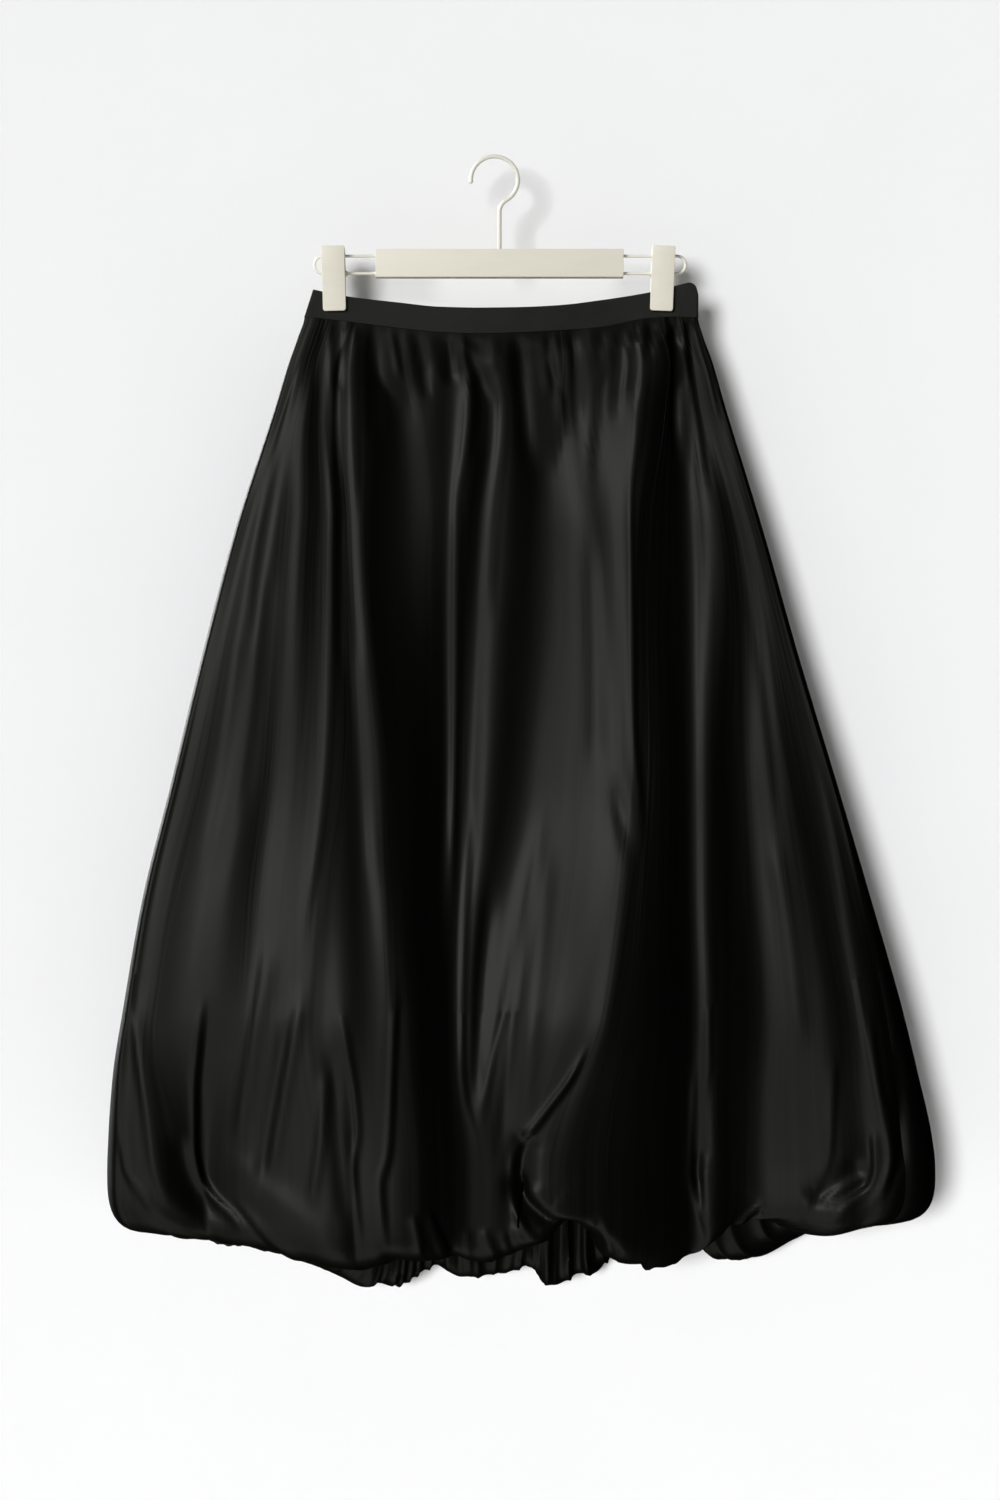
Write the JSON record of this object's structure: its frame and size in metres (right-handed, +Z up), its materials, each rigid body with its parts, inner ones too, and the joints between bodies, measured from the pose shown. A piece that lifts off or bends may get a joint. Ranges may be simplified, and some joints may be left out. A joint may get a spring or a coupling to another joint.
{
  "type": "balloon skirt on a clip hanger",
  "caption": "Midi balloon skirt of black satin with a gathered, turned-under bubble hem, clipped by its waistband to a bar hanger with a wire hook.",
  "frame": {"origin": "the inner crown of the hanger's hook, where it rests on a rail", "axes": "+X to the viewer's right across the skirt's front, +Y away from the viewer towards the skirt's back, +Z up"},
  "size_m": [0.7379, 0.1788, 1.0182],
  "materials": {
    "satin": "black satin with a soft sheen",
    "waistband_satin": "the same satin, faced and pressed flat",
    "hanger_paint": "cream with a low sheen",
    "hanger_wire": "cream coated wire"
  },
  "bodies": {
    "root": {"skirt_front": "satin", "skirt_back": "satin", "waistband_front": "waistband_satin", "waistband_back": "waistband_satin", "hem_band_front": "waistband_satin", "hem_band_back": "waistband_satin", "hanger_bar": "hanger_paint", "hanger_hook": "hanger_wire", "wire_loop_left": "hanger_wire", "wire_loop_right": "hanger_wire", "clip_left_front": "hanger_paint", "clip_left_back": "hanger_paint", "clip_left_saddle": "hanger_paint", "clip_right_front": "hanger_paint", "clip_right_back": "hanger_paint", "clip_right_saddle": "hanger_paint"}
  },
  "joints": []
}
